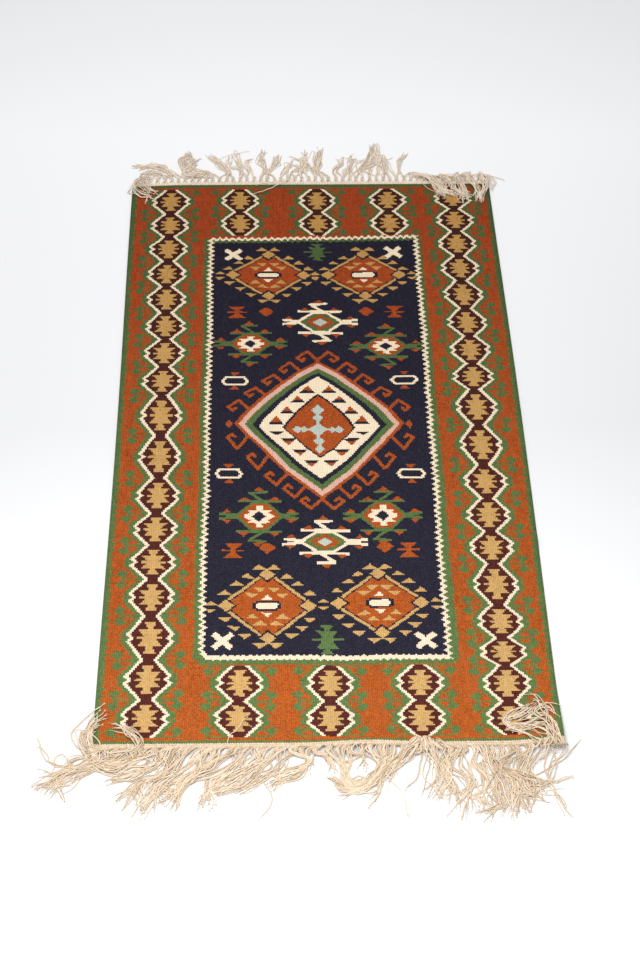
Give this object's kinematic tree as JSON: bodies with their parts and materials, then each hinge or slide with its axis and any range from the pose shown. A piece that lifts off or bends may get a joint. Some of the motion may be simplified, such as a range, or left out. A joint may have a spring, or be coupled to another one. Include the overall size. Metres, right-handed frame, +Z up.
{
  "type": "fringed kilim rug",
  "caption": "Flat-woven wool rug, laid out flat, with plaited headings and knotted warp fringe at both ends.",
  "frame": {"origin": "centre of the woven cloth's underside, on the floor", "axes": "+X across the rug, +Y along its length towards the far end, +Z up out of its face"},
  "size_m": [0.8274, 1.7217, 0.0236],
  "materials": {
    "wool_weave": "matt flat-woven wool, weft-faced, with fine ribs along the rug",
    "warp_yarn": "undyed twisted wool and cotton warp yarn, soft and matt"
  },
  "bodies": {
    "root": {"kilim_cloth": "wool_weave", "fringe_near": "warp_yarn", "fringe_far": "warp_yarn"}
  },
  "joints": []
}
